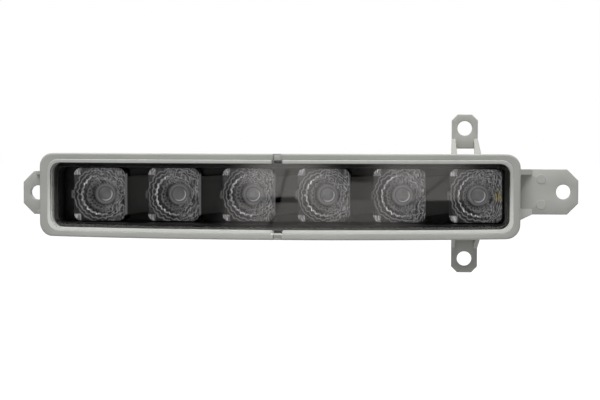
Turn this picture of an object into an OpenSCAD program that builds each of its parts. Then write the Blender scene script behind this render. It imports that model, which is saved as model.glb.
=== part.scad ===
// Daytime running light for a car's front bumper: a grey housing with four ears, a bowed clear lens,
// a black bezel and a row of six clear collimators over a board of light emitting diodes.
// The face looks along -Y, +Z is up, and the origin lies midway between the upper and lower
// fixing holes, on the plane that the ears seat on. Lengths are in millimetres.

/* [Optic row] */
// Width of one square optic
cell_w = 22.6; // [20:0.1:24]
// Height of one square optic
cell_h = 23.2; // [20:0.1:26]
// Corner radius of one square optic
cell_r = 3; // [2:0.1:5]
// Distance from one optic to the next
pitch = 33; // [32:0.1:40]
// Height of an optic over the board
optic_tall = 15; // [13.5:0.5:18]
// Wall of the optic's square skirt
skirt_t = 1.3; // [0.8:0.1:2]
// Thickness of the optic's front plate
plate_t = 1.6; // [1:0.1:2.5]
// Sideways offset of the round collimator in its square plate
eye_dx = 1.3; // [0:0.1:1.4]
// Margin from the faceted ring to the edge of the front plate
ring_margin = 0.2; // [0.1:0.1:1]
// Number of facets around the ring
ring_facets = 24; // [16:1:32]
// Margin from the faceted ring to the mouth of the bowl
bowl_margin = 0.7; // [0.4:0.1:1.2]
// Radius of the small lens at the bottom of the bowl
eye_r = 3.1; // [2.5:0.1:3.8]
// Height of the small lens over the board
eye_h = 8.4; // [8:0.1:9]
// Room in the bezel beyond the first optic
end_room = 6.4; // [4:0.1:20]
// Room in the bezel beyond the last optic
near_room = 1.2; // [0.6:0.1:8]
// Room in the bezel above and below an optic
side_room = 0.5; // [0.3:0.1:3]

/* [Rim and lens] */
// From the plane that the ears seat on to the middle of the face
face_reach = 39; // [37:0.5:48]
// Radius of the bow of the face, seen from above
bow_r = 304; // [290:1:600]
// Corner radius of the rim
rim_r = 6; // [5:0.1:7]
// Width of the rim's own wall
rim_wall = 2.5; // [1.6:0.1:3]
// How much thicker the rim is at its left end
left_extra = 1.5; // [0:0.1:2]
// How much thicker the rim is at its right end
right_extra = 0.4; // [0:0.1:2]
// How far the rim reaches back
rim_deep = 12; // [11.5:0.5:14]
// How far the rim stands back from the lens
rim_set = 0.8; // [0.2:0.1:1.5]
// Thickness of the clear front
lens_t = 2.5; // [2:0.1:3.5]
// Thickness of the foot around the lens
foot_t = 1.1; // [1:0.1:2.5]
// How far the foot reaches back from the face
foot_deep = 9.9; // [9:0.1:10.2]
// Height of the sealing bead under the foot
bead_t = 0.9; // [0.6:0.1:1.2]
// Width of the locating notches in the rim
notch_w = 3.6; // [2:0.1:8]
// Depth of the locating notches
notch_deep = 1.4; // [0.8:0.1:2.5]
// Sideways place of the locating notches
notch_x = 1.5; // [-20:0.5:20]

/* [Bezel] */
// Wall of the bezel's tray
bezel_t = 1; // [0.8:0.1:2]
// Height of the bezel's floor over the board
floor_h = 5; // [4.4:0.1:7]
// Thickness of the bezel's floor
floor_t = 2; // [1.2:0.1:2.2]
// Depth of the bezel's lip behind the face
lip_deep = 6.3; // [5:0.1:7]
// Thickness of the bezel's lip
lip_t = 1.2; // [0.8:0.1:1.5]
// Height of the web that stands on the floor between two optics
web_h = 4; // [1:0.5:6]

/* [Housing] */
// Wall between the groove and the inside
inner_t = 0.8; // [0.6:0.1:2]
// Side wall behind the rim
wall_t = 2; // [1.6:0.1:2.6]
// Back wall
back_t = 2.2; // [1.6:0.1:4]
// Height of the ribs on the back wall
rib_h = 1.8; // [0.8:0.1:4]
// Thickness of the ribs
rib_t = 1.5; // [1:0.1:2.5]

/* [Ears] */
// Thickness of an ear
ear_t = 3; // [2:0.1:4]
// Radius of a fixing hole
hole_r = 3.2; // [2.5:0.1:3.6]
// Width of the upper and lower ears
pair_w = 11.4; // [11:0.1:16]
// From the rim's right end to the upper and lower holes
pair_in = 23.7; // [18:0.1:40]
// From the rim's long edge to the upper and lower holes
pair_out = 10.5; // [9:0.1:20]
// From a hole of the upper or lower ear to the ear's tip
pair_tip = 6.1; // [5.5:0.1:9]
// Chamfer at the tip of the upper and lower ears
pair_chamfer = 2.6; // [1:0.1:3.5]
// How far the upper and lower ears lie above the middle of the face
pair_lift = 0.7; // [-0.8:0.1:0.8]
// Width of the right ear
right_w = 19.9; // [14:0.1:22]
// From the rim's right end to the right hole
right_out = 19.4; // [14:0.1:30]
// From the right hole to the ear's tip
right_tip = 6.5; // [5.5:0.1:10]
// How far the right ear lies above the middle of the face
right_lift = 1.6; // [-2:0.1:2]
// Width of the left ear
left_w = 19.4; // [14:0.1:22]
// From the rim's left end to the left hole
left_out = 5.3; // [5:0.1:14]
// From the left hole to the ear's tip
left_tip = 6.5; // [5.5:0.1:10]
// How far the left ear lies above the middle of the face
left_lift = 0.3; // [-2:0.1:2]
// Chamfer at the tips of the end ears
end_chamfer = 4.9; // [2:0.1:6]
// How far an ear's gussets reach past the rim
gusset_out = 6; // [3:0.1:6.5]
// How far an ear's gussets reach forward of the seating plane
gusset_deep = 10; // [6:0.5:12]
// Thickness of a gusset
gusset_t = 1.8; // [1.2:0.1:2.5]
// Thickness of the right ear's gussets
right_gusset_t = 2.5; // [1.2:0.1:3]

/* [Board] */
// Thickness of the circuit board
board_t = 1.6; // [1:0.1:2.4]
// How far the board's face lies behind the ears' seating plane
board_y = 1; // [0:0.1:4]
// Thickness of the thermal pad
pad_t = 0.4; // [0.2:0.1:1]
// Thickness of the heat spreader
spreader_t = 2; // [1:0.1:4]
// Height of the bosses behind the spreader
boss_h = 3; // [2:0.1:6]
// Radius of a board screw's shank
screw_r = 1.2; // [1:0.1:1.5]
// Radius of a board screw's head
screw_head_r = 2.3; // [2:0.1:2.8]
// Height of a board screw's head
screw_head_h = 1.6; // [1:0.1:2]
// Distance of a board screw from the board's long centre line
screw_z = 8.5; // [7:0.1:9]
// Side of a diode's base
led_w = 3.4; // [2.5:0.1:3.8]
// Height of a diode's base
led_h = 0.7; // [0.5:0.1:1]
// Radius of a diode's dome
led_dome_r = 1.3; // [0.8:0.1:1.6]

/* [Connector and vent] */
// Width inside the connector's shroud
socket_w = 18.4; // [14:0.1:20]
// Height inside the connector's shroud
socket_h = 10.8; // [10.4:0.1:12]
// Wall of the connector's shroud
shroud_t = 1.8; // [1.2:0.1:2.5]
// Length of the connector's shroud behind the back wall
shroud_deep = 15; // [12:0.5:24]
// Radius of a terminal pin
pin_r = 0.75; // [0.5:0.05:0.8]
// Distance between the two pins
pin_gap = 5.4; // [4:0.1:8]
// How far a pin stands in the shroud
pin_out = 9; // [6:0.5:11]
// Radius of the vent's spigot
vent_r = 4.2; // [3:0.1:5]
// Radius of the vent's hole
vent_hole_r = 1.6; // [1:0.1:2.4]
// Height of the vent's spigot
vent_h = 2.2; // [1.5:0.1:3]

/* [Hidden] */

cells = 6;
fit = 0.05;            // clearance between pieces that seat on each other
slide = 0.2;           // clearance around pieces that drop in
groove_gap = 0.25;     // clearance inside the lens foot
over = 1;              // how far a cutter passes the face that it cuts

// The row of optics sets the bezel, the bezel the inside, and the inside the rim
row_w = (cells - 1) * pitch + cell_w;
row_x = (end_room - near_room) / 2;
tray_w = row_w + end_room + near_room;
tray_h = cell_h + 2 * side_room;
tray_r = 2.6;
bezel_w = tray_w + 2 * bezel_t;
bezel_h = tray_h + 2 * bezel_t;
inside_w = bezel_w + 2 * slide;
inside_h = bezel_h + 2 * slide;
sill_w = inside_w + 2 * inner_t;
sill_h = inside_h + 2 * inner_t;
foot_in_w = sill_w + 2 * groove_gap;
foot_in_h = sill_h + 2 * groove_gap;
lens_w = foot_in_w + 2 * foot_t;
lens_h = foot_in_h + 2 * foot_t;
groove_w = lens_w + 2 * slide;
groove_h = lens_h + 2 * slide;
rim_left = groove_w / 2 + rim_wall + left_extra;
rim_right = groove_w / 2 + rim_wall + right_extra;
rim_h = groove_h + 2 * rim_wall;
body_w = inside_w + 2 * wall_t;
body_h = inside_h + 2 * wall_t;
inside_r = tray_r + bezel_t;
sill_r = inside_r + inner_t;
lens_r = sill_r + foot_t / 2;
body_r = inside_r + wall_t / 2;

// Depths behind the bowed face
groove_deep = foot_deep + bead_t;
sill_deep = lip_deep + lip_t + fit;

// Depths along Y, from the ears' seating plane
pad_y = board_y + board_t;
spreader_y = pad_y + pad_t;
boss_y = spreader_y + spreader_t;
wall_y = boss_y + boss_h;
back_y = wall_y + back_t;
floor_front_y = board_y - floor_h;
floor_back_y = floor_front_y + floor_t;

shroud_end = back_y + shroud_deep;
shroud_r = 3;

// Ribs on the back wall and props behind the rim
rail_z = body_h / 2 - 3;
rail_w = body_w - 2 * body_r;
prop_deep = 8;
rim_lip = 0.3;

// Places along the row
cell_x = [for (i = [0 : cells - 1]) row_x + (i - (cells - 1) / 2) * pitch];
gap_x = [for (i = [0 : cells - 2]) row_x + (i + 1 - (cells - 1) / 2 - 0.5) * pitch];
gap_w = pitch - cell_w;
screw_gaps = [0, 2, 4];
socket_x = gap_x[3];
vent_x = gap_x[1];

// Places of the ears
pair_x = rim_right - pair_in;
pair_reach = rim_h / 2 + pair_out;
right_reach = rim_right + right_out;
left_reach = rim_left + left_out;
slot_out = 1.6;        // from the rim to the near edge of the upper ear's plate
slot_cover = 0.6;      // how far the rim covers the near edge of the lower ear's plate

// The board and what lies on and behind it
stand_off = 0.15;
board_margin = 0.3;
board_w = row_w + 2 * board_margin;
board_h = cell_h + 2 * board_margin;
board_r = 2;
spreader_margin = 0.5;
spreader_w = board_w - 2 * spreader_margin;
spreader_h = board_h - 2 * spreader_margin;
pad_margin = 1;
pin_window = 6;
pin_window_w = pin_gap + pin_window;
boss_r = 3;
pilot_r = screw_r + fit;
pilot_deep = boss_h - 0.4;

// Inside one optic, over the board
recess_r = 3;
recess_h = 5.6;
cone_foot_r = 4.2;
cone_foot_h = 0.6;
ring_t = 0.7;
ring_h = 0.6;
ring_r = cell_w / 2 - eye_dx - ring_margin;
bowl_r = ring_r - ring_t - bowl_margin;
cone_margin = 0.2;
cone_top_r = ring_r - cone_margin;
bowl_edge_h = 0.8;
bowl_shelf = 1;
bowl_floor_r = 4.9;
bowl_floor_h = eye_h - 1;
pad_in = 2.2;
pad_r = 1.4;
pad_h = 0.4;
latch_w = 3.4;
latch_h = 5;
latch_out = 1;

grey = [0.60, 0.61, 0.58];
clear = [0.85, 0.88, 0.9, 0.35];
black = [0.06, 0.06, 0.065];
board_green = [0.08, 0.3, 0.16];
metal = [0.75, 0.76, 0.78];

bore_fn = 48;
bow_fn = 360;

// Moves a piece that is drawn around the middle of the face to the origin at the two holes
module from_holes() {
    translate([-pair_x, 0, -pair_lift]) children();
}

// A rectangle with round corners, seen from the front
module round_rect(w, h, r) {
    square([w - 2 * r, h], center = true);
    square([w, h - 2 * r], center = true);
    for (sx = [-1, 1], sz = [-1, 1]) {
        translate([sx * (w / 2 - r), sz * (h / 2 - r)]) circle(r, $fn = bore_fn);
    }
}

// The rim's outline, whose two ends lie at their own distances from the middle of the face
module rim_outline() {
    translate([(rim_right - rim_left) / 2, 0]) round_rect(rim_right + rim_left, rim_h, rim_r);
}

// A front view drawn from y0 back to y1
module slab(y0, y1) {
    translate([0, y1, 0]) rotate([90, 0, 0]) linear_extrude(y1 - y0) children();
}

// All that lies behind the bowed face by the depth s
module behind(s) {
    translate([0, bow_r - face_reach, -rim_h]) cylinder(r = bow_r - s, h = 2 * rim_h, $fn = bow_fn);
}

// A front view kept between two depths behind the bowed face
module bowed(s0, s1) {
    difference() {
        intersection() {
            slab(-face_reach - over, 0) children();
            behind(s0);
        }
        behind(s1);
    }
}

// A cutter for all that lies in front of the depth s
module cut_to(s) {
    difference() {
        slab(-face_reach - over, 0) children();
        behind(s);
    }
}

// A plain pin along Y
module along_y(r, y0, y1) {
    translate([0, y1, 0]) rotate([90, 0, 0]) cylinder(r = r, h = y1 - y0, $fn = bore_fn);
}

// Plate of an ear, drawn outwards along X from its near edge to its tip
module ear_plate(near, hole, tip, w, chamfer) {
    difference() {
        slab(-ear_t, 0) polygon([
            [near, -w / 2], [tip - chamfer, -w / 2], [tip, -w / 2 + chamfer],
            [tip, w / 2 - chamfer], [tip - chamfer, w / 2], [near, w / 2]]);
        translate([hole, 0, 0]) along_y(hole_r, -ear_t - over, over);
    }
}

// One gusset of an ear, from the housing's wall out to the plate; at the wall its outer and inner
// face lean away from the ear's middle by the two values of leans
module ear_gusset(root, end, w, side, t, leans) {
    edge = w / 2;
    intersection() {
        slab(-gusset_deep, 0) polygon([
            [root, side * (edge + leans[0])], [end, side * edge],
            [end, side * (edge - t)], [root, side * (edge - t + leans[1])]]);
        translate([0, 0, -w]) linear_extrude(2 * w) polygon([
            [root, 0], [root, -gusset_deep], [end, -ear_t], [end, 0]]);
    }
}

// A whole ear with its two gussets; the plate stops short of the wall where near leaves a slot
module ear(wall, edge, near, hole, tip, w, chamfer, t, leans) {
    root = wall - wall_t / 2;
    ear_plate(near, hole, tip, w, chamfer);
    for (i = [0, 1]) {
        ear_gusset(root, edge + gusset_out, w, 2 * i - 1, t, leans[i]);
    }
}

module ears() {
    upright = [0, 0];
    upper_leans = [[2.1, 0.6], [0.2, -0.9]];
    lower_leans = [upright, [2.7, 1.9]];
    right_leans = [[4.4, 0], upright];
    left_leans = [upright, upright];
    pair_end = pair_reach + pair_tip;
    translate([pair_x, 0, pair_lift]) {
        rotate([0, -90, 0]) {
            ear(body_h / 2, rim_h / 2, rim_h / 2 + slot_out, pair_reach, pair_end, pair_w, pair_chamfer,
                gusset_t, upper_leans);
        }
        rotate([0, 90, 0]) {
            ear(body_h / 2, rim_h / 2, rim_h / 2 - slot_cover, pair_reach, pair_end, pair_w, pair_chamfer,
                gusset_t, lower_leans);
        }
    }
    translate([0, 0, right_lift]) {
        ear(body_w / 2, rim_right, rim_right + slot_out / 2, right_reach, right_reach + right_tip, right_w,
            end_chamfer, right_gusset_t, right_leans);
        ejector_marks();
    }
    translate([0, 0, left_lift]) rotate([0, 180, 0]) {
        ear(body_w / 2, rim_left, body_w / 2 - wall_t / 2, left_reach, left_reach + left_tip, left_w,
            end_chamfer, gusset_t, left_leans);
    }
}

// Two low round marks that the mould's ejectors leave on the long ear
module ejector_marks() {
    mark_r = 2.1;
    mark_h = 0.15;
    mark_z = 5.6;
    for (side = [-1, 1]) {
        translate([right_reach - right_out / 2, 0, side * mark_z]) {
            along_y(mark_r, -ear_t - mark_h, -ear_t / 2);
        }
    }
}

// Rim and body, still without their hollows
module shell() {
    bowed(rim_set, rim_set + rim_deep) rim_outline();
    intersection() {
        slab(-face_reach, back_y) round_rect(body_w, body_h, body_r);
        behind(groove_deep);
    }
}

// Groove for the lens, step for the bezel's lip, inside and notches
module hollows() {
    cut_to(groove_deep) difference() {
        round_rect(groove_w, groove_h, lens_r + slide);
        round_rect(sill_w, sill_h, sill_r);
    }
    cut_to(sill_deep) round_rect(sill_w, sill_h, sill_r);
    slab(-face_reach - over, wall_y) round_rect(inside_w, inside_h, inside_r);
    notches(rim_h / 2 + over, rim_set + notch_deep, notch_w);
}

// Locating notches at the middle of both long edges, out to a height and back to a depth
module notches(top, s, w) {
    low = lens_h / 2;
    cut_to(s) for (side = [-1, 1]) {
        translate([notch_x, side * (low + top) / 2]) square([w, top - low], center = true);
    }
}

// Ribs on the back wall, and small gussets that prop the rim on the long sides
module ribs() {
    slab(back_y - fit, back_y + rib_h) {
        for (side = [-1, 1]) {
            translate([0, side * rail_z]) square([rail_w, rib_t], center = true);
        }
        for (x = cell_x) {
            translate([x, 0]) square([rib_t, 2 * rail_z], center = true);
        }
    }
    for (x = gap_x, side = [-1, 1]) {
        rim_back = -face_reach + bow_sag(x) + rim_set + rim_deep - over;
        wall_z = side * (body_h / 2 - fit);
        translate([x - rib_t / 2, 0, 0]) rotate([90, 0, 90]) linear_extrude(rib_t) polygon([
            [rim_back, wall_z], [rim_back, side * (rim_h / 2 - rim_lip)], [rim_back + prop_deep, wall_z]]);
    }
}

// How far the bowed face lies behind its middle at x
function bow_sag(x) = bow_r - sqrt(bow_r * bow_r - x * x);

// Socket that a plug on the car's own harness goes into, with a ramp for the plug's latch on top
module shroud() {
    ramp_w = 5;
    ramp_tall = 1.6;
    ramp_l = 5;
    ramp_in = 3;
    translate([socket_x, 0, 0]) {
        slab(back_y - fit, shroud_end) difference() {
            round_rect(socket_w + 2 * shroud_t, socket_h + 2 * shroud_t, shroud_r);
            round_rect(socket_w, socket_h, shroud_r - shroud_t / 2);
        }
        translate([-ramp_w / 2, shroud_end - ramp_in, socket_h / 2 + shroud_t - fit]) rotate([90, 0, 90]) {
            linear_extrude(ramp_w) polygon([[0, 0], [0, ramp_tall], [-ramp_l, 0]]);
        }
    }
}

module bosses() {
    for (i = screw_gaps, side = [-1, 1]) {
        translate([gap_x[i], 0, side * screw_z]) difference() {
            along_y(boss_r, boss_y, wall_y + fit);
            along_y(pilot_r, boss_y - over, boss_y + pilot_deep);
        }
    }
}

module vent_spigot() {
    translate([vent_x, 0, 0]) along_y(vent_r, back_y - fit, back_y + vent_h);
}

module housing() {
    color(grey) from_holes() difference() {
        union() {
            difference() {
                union() {
                    shell();
                    ears();
                    ribs();
                    shroud();
                    vent_spigot();
                }
                hollows();
            }
            bosses();
        }
        translate([vent_x, 0, 0]) along_y(vent_hole_r, wall_y - over, back_y + vent_h + over);
        for (side = [-1, 1]) {
            translate([socket_x + side * pin_gap / 2, 0, 0]) {
                along_y(pin_r + fit, wall_y - over, back_y + over);
            }
        }
    }
}

// Clear front with a foot all round, and two lugs that fill the rim's notches
module outer_lens() {
    lug_in = 0.6;
    color(clear) from_holes() {
        difference() {
            bowed(0, foot_deep) round_rect(lens_w, lens_h, lens_r);
            intersection() {
                slab(-face_reach - over, over) round_rect(foot_in_w, foot_in_h, sill_r + groove_gap);
                behind(lens_t);
            }
        }
        difference() {
            notches(rim_h / 2 - lug_in, rim_set + notch_deep - slide, notch_w - 2 * slide);
            cut_to(rim_set) rim_outline();
        }
    }
}

module lens_seal() {
    color([0.1, 0.1, 0.1]) from_holes() bowed(foot_deep + fit, groove_deep - fit) difference() {
        round_rect(groove_w - 2 * fit, groove_h - 2 * fit, lens_r + slide);
        round_rect(sill_w + 2 * fit, sill_h + 2 * fit, sill_r);
    }
}

// Black tray that the optics stand up through, with a slanted web between each two
module bezel() {
    web = gap_w - 2 * slide;
    top_room = [4.3, 3.7];
    low_room = [3, 4.5];
    half = tray_h / 2;
    color(black) from_holes() {
        difference() {
            union() {
                intersection() {
                    slab(-face_reach, floor_back_y) round_rect(bezel_w, bezel_h, inside_r);
                    behind(lip_deep);
                }
                bowed(lip_deep, lip_deep + lip_t) round_rect(sill_w - 2 * fit, sill_h - 2 * fit, sill_r);
            }
            slab(-face_reach - over, floor_front_y) round_rect(tray_w, tray_h, tray_r);
            for (x = cell_x) {
                translate([x, 0, 0]) slab(floor_front_y - over, floor_back_y + over) {
                    square([cell_w + 2 * slide, tray_h], center = true);
                }
            }
        }
        for (x = gap_x) {
            translate([x, 0, 0]) slab(floor_front_y - web_h, floor_front_y + fit) polygon([
                [-web / 2, low_room[0] - half], [web / 2, low_room[1] - half],
                [web / 2, half - top_room[1]], [-web / 2, half - top_room[0]]]);
        }
    }
}

// One clear collimator, drawn with the board at z = 0 and its front plate upwards
module optic_body() {
    plate_low = optic_tall - plate_t;
    difference() {
        union() {
            difference() {
                linear_extrude(optic_tall) round_rect(cell_w, cell_h, cell_r);
                translate([0, 0, -over]) linear_extrude(plate_low + over) {
                    round_rect(cell_w - 2 * skirt_t, cell_h - 2 * skirt_t, cell_r - skirt_t / 2);
                }
            }
            translate([eye_dx, 0, 0]) {
                rotate_extrude($fn = 96) polygon([
                    [0, cone_foot_h], [cone_foot_r, cone_foot_h],
                    [cone_top_r, plate_low + fit], [0, plate_low + fit]]);
                translate([0, 0, optic_tall - fit]) linear_extrude(ring_h + fit) difference() {
                    polygon([for (i = [0 : ring_facets - 1])
                        ring_r * [cos(i * 360 / ring_facets), sin(i * 360 / ring_facets)]]);
                    circle(ring_r - ring_t, $fn = 96);
                }
            }
            for (sx = [-1, 1], sy = [-1, 1]) {
                translate([sx * (cell_w / 2 - pad_in), sy * (cell_h / 2 - pad_in), optic_tall - fit]) {
                    cylinder(r = pad_r, h = pad_h + fit, $fn = bore_fn);
                }
            }
            translate([-cell_w / 2 - latch_out, -latch_w / 2, optic_tall - latch_h]) {
                cube([latch_out + fit, latch_w, latch_h]);
            }
        }
        translate([eye_dx, 0, 0]) {
            rotate_extrude($fn = 96) polygon([
                [0, optic_tall + over], [bowl_r, optic_tall + over], [bowl_r, optic_tall - bowl_edge_h],
                [bowl_r - bowl_shelf, optic_tall - bowl_edge_h], [bowl_floor_r, bowl_floor_h],
                [0, bowl_floor_h]]);
            translate([0, 0, -over]) cylinder(r = recess_r, h = recess_h + over, $fn = bore_fn);
        }
    }
    translate([eye_dx, 0, 0]) eye_lens();
}

// Small domed lens on the floor of the bowl
module eye_lens() {
    rise = eye_h - bowl_floor_h;
    dome_r = (eye_r * eye_r + rise * rise) / (2 * rise);
    intersection() {
        translate([0, 0, bowl_floor_h - fit]) cylinder(r = eye_r, h = rise + 2 * fit, $fn = 96);
        translate([0, 0, eye_h - dome_r]) sphere(dome_r, $fn = 96);
    }
}

module optic(i) {
    color(clear) from_holes() translate([cell_x[i], board_y, 0]) rotate([90, 0, 0]) optic_body();
}

module led(i) {
    color([0.95, 0.85, 0.3]) from_holes() translate([cell_x[i] + eye_dx, board_y, 0]) rotate([90, 0, 0]) {
        translate([-led_w / 2, -led_w / 2, 0]) cube([led_w, led_w, led_h]);
        intersection() {
            translate([0, 0, led_h]) sphere(led_dome_r, $fn = bore_fn);
            translate([0, 0, led_h - fit]) cylinder(r = 2 * led_dome_r, h = 2 * led_dome_r, $fn = bore_fn);
        }
    }
}

// Holes for the board screws through a layer of the stack
module screw_holes(r) {
    for (i = screw_gaps, side = [-1, 1]) {
        translate([gap_x[i], side * screw_z]) circle(r, $fn = bore_fn);
    }
}

module circuit_board() {
    color(board_green) from_holes() slab(board_y, pad_y) difference() {
        translate([row_x, 0]) round_rect(board_w, board_h, board_r);
        screw_holes(screw_r + slide);
        for (side = [-1, 1]) {
            translate([socket_x + side * pin_gap / 2, 0]) circle(pin_r + slide, $fn = bore_fn);
        }
    }
}

module thermal_pad() {
    color([0.75, 0.5, 0.6]) from_holes() slab(pad_y, spreader_y) difference() {
        translate([row_x, 0]) round_rect(spreader_w - 2 * pad_margin, spreader_h - 2 * pad_margin, 1);
        screw_holes(screw_r + 2 * slide);
        translate([socket_x, 0]) square([pin_window_w, pin_window], center = true);
    }
}

module heat_spreader() {
    color(metal) from_holes() slab(spreader_y, boss_y) difference() {
        translate([row_x, 0]) round_rect(spreader_w, spreader_h, board_r);
        screw_holes(screw_r + slide);
        translate([socket_x, 0]) square([pin_window_w, pin_window], center = true);
    }
}

// Screws with a hexagon socket in each head
module board_screws() {
    screw_end = boss_y + pilot_deep - slide;
    socket_r = 1.1;
    socket_deep = 0.9;
    color(metal) from_holes() for (i = screw_gaps, side = [-1, 1]) {
        translate([gap_x[i], 0, side * screw_z]) {
            along_y(screw_r, board_y - fit, screw_end);
            difference() {
                along_y(screw_head_r, board_y - screw_head_h, board_y);
                translate([0, board_y - screw_head_h + socket_deep, 0]) rotate([90, 0, 0]) {
                    cylinder(r = socket_r, h = socket_deep + over, $fn = 6);
                }
            }
        }
    }
}

// Chip with four leads on each long side
module driver_chip() {
    chip_w = 3.9;
    chip_l = 4.9;
    chip_t = 1.5;
    lead_pitch = 1.27;
    lead_w = 0.42;
    lead_h = 0.6;
    lead_out = 1.05;
    color([0.08, 0.08, 0.08]) from_holes() translate([gap_x[1], board_y, 0]) rotate([90, 0, 0]) {
        translate([-chip_l / 2, -chip_w / 2, stand_off]) cube([chip_l, chip_w, chip_t]);
        for (side = [-1, 1], k = [-1.5 : 1.5]) {
            translate([k * lead_pitch, side * (chip_w / 2 + lead_out / 2 - fit), lead_h / 2]) {
                cube([lead_w, lead_out, lead_h], center = true);
            }
        }
    }
}

// Round coil on a square base that takes its share of the gap between two optics
module driver_coil() {
    coil_share = 0.56;
    coil_w = coil_share * gap_w;
    coil_t = 2.6;
    base_h = 0.6;
    base_edge = 0.3;
    color([0.25, 0.22, 0.2]) from_holes() translate([gap_x[0], board_y, 0]) rotate([90, 0, 0]) {
        translate([-coil_w / 2, -coil_w / 2, 0]) cube([coil_w, coil_w, base_h]);
        cylinder(r = coil_w / 2 - base_edge, h = coil_t, $fn = bore_fn);
    }
}

// Moulded block on a flat lead that shows at both ends
module power_diode() {
    diode_size = [2.6, 4.2, 2];
    lead_size = [1.6, 5.2, 0.4];
    color([0.1, 0.1, 0.1]) from_holes() translate([gap_x[2], board_y, 0]) rotate([90, 0, 0]) {
        translate([-diode_size[0] / 2, -diode_size[1] / 2, stand_off]) cube(diode_size);
        translate([-lead_size[0] / 2, -lead_size[1] / 2, 0]) cube(lead_size);
    }
}

// Three blocks side by side
module capacitors() {
    cap_size = [3.2, 1.6, 1.4];
    cap_pitch = 2.6;
    color([0.65, 0.5, 0.35]) from_holes() translate([gap_x[4], board_y, 0]) rotate([90, 0, 0]) {
        for (k = [-1 : 1]) {
            translate([-cap_size[0] / 2, k * cap_pitch - cap_size[1] / 2, 0]) cube(cap_size);
        }
    }
}

// Two pins from the board's face through the back wall into the shroud
module connector_pins() {
    pin_front = 0.8;
    color([0.8, 0.7, 0.4]) from_holes() for (side = [-1, 1]) {
        translate([socket_x + side * pin_gap / 2, 0, 0]) {
            along_y(pin_r, board_y - pin_front, back_y + pin_out);
        }
    }
}

// Disc that closes the vent's hole to water but lets air through
module vent_membrane() {
    membrane_t = 0.3;
    membrane_edge = 0.3;
    membrane_y = back_y + vent_h + fit;
    color([0.9, 0.9, 0.88]) from_holes() translate([vent_x, 0, 0]) {
        along_y(vent_r - membrane_edge, membrane_y, membrane_y + membrane_t);
    }
}

// Cap over the membrane, open at its foot through two crossed slots
module vent_cap() {
    cap_t = 1.8;
    cap_r = vent_r + cap_t;
    top_t = 1.2;
    room = 0.6;
    slot = 2;
    slot_h = 1.6;
    top_y = back_y + vent_h + room + top_t;
    color([0.1, 0.1, 0.1]) from_holes() translate([vent_x, 0, 0]) difference() {
        along_y(cap_r, back_y + fit, top_y);
        along_y(vent_r + fit, back_y - over, top_y - top_t);
        for (turn = [45, 135]) {
            rotate([0, turn, 0]) translate([0, back_y + slot_h / 2, 0]) {
                cube([4 * cap_r, slot_h + fit, slot], center = true);
            }
        }
    }
}

housing();
outer_lens();
lens_seal();
bezel();
optic(0);  // optic_1
optic(1);  // optic_2
optic(2);  // optic_3
optic(3);  // optic_4
optic(4);  // optic_5
optic(5);  // optic_6
led(0);  // led_1
led(1);  // led_2
led(2);  // led_3
led(3);  // led_4
led(4);  // led_5
led(5);  // led_6
circuit_board();
driver_chip();
driver_coil();
power_diode();
capacitors();
thermal_pad();
heat_spreader();
board_screws();
connector_pins();
vent_cap();
vent_membrane();
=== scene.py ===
# %% [markdown]
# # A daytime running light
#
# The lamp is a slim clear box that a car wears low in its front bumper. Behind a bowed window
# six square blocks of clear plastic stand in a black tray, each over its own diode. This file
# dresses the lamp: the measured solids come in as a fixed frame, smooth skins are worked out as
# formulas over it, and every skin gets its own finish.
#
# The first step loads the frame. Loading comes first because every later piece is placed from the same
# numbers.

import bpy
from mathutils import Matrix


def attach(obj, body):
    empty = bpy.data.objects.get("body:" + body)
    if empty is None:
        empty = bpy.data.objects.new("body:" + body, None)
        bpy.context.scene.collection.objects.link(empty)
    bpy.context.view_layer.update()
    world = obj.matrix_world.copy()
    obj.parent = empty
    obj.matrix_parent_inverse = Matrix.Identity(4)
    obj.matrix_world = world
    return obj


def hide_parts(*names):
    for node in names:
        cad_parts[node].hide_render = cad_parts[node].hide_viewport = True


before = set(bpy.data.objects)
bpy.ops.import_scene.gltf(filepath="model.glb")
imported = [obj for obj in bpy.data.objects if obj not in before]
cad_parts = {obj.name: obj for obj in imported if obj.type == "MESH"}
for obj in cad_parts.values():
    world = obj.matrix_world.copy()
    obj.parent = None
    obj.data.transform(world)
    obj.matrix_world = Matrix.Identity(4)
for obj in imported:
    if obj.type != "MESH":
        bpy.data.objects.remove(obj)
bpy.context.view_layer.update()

import math

import bpy
import numpy as np
from mathutils import Matrix, Vector

# %% [markdown]
# ## The drawing's own numbers
#
# The lamp's lengths are millimetres, in a frame whose origin lies behind the face's middle, in
# the plane that the ears seat on. Floor, lights and most finishes use metres. The face is bowed
# like a piece of a large cylinder, so a point of it lies further back the further it is from
# the middle. One function gives that setback for any place along the lamp. Writing the sizes
# once and building from them keeps the skins true to the solids that they cover.

# %% Sizes, in millimetres
MM = 0.001
ORIGIN = np.array([-80.35, 0.0, -0.7])
FACE = -39.0
BOW_R = 304.0
PITCH = 33.0
CELL_X = [-79.9 + PITCH * i for i in range(6)]
GAP_X = [x + PITCH / 2 for x in CELL_X[:5]]
END_ROOM = 85.5
RIM_LEFT, RIM_RIGHT = 105.15, 104.05
BOARD = 1.0
BACK = 10.2
FLOOR_IN = 8.0
SEAT_T = 3.0
SOCKET_X, VENT_X = GAP_X[3], GAP_X[1]


def sag(x):
    """Setback of the bowed face: the radius less the root of radius squared less x squared."""
    return BOW_R - np.sqrt(BOW_R**2 - np.square(x))


print("setback at the rim's ends:", round(float(sag(104.2)), 2), "mm")

# %% [markdown]
# ## Camera
#
# The photograph was taken almost straight on, a little from the right and a little from above.
# Its long lens was found by trying cameras until the corners of the rim and the four ears fell
# on their pixels. The picture had been cropped off centre, which a small sideways shift of the
# lens repeats without turning the camera. Fixing the camera before any modelling means that
# each piece can be judged in place.

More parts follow.
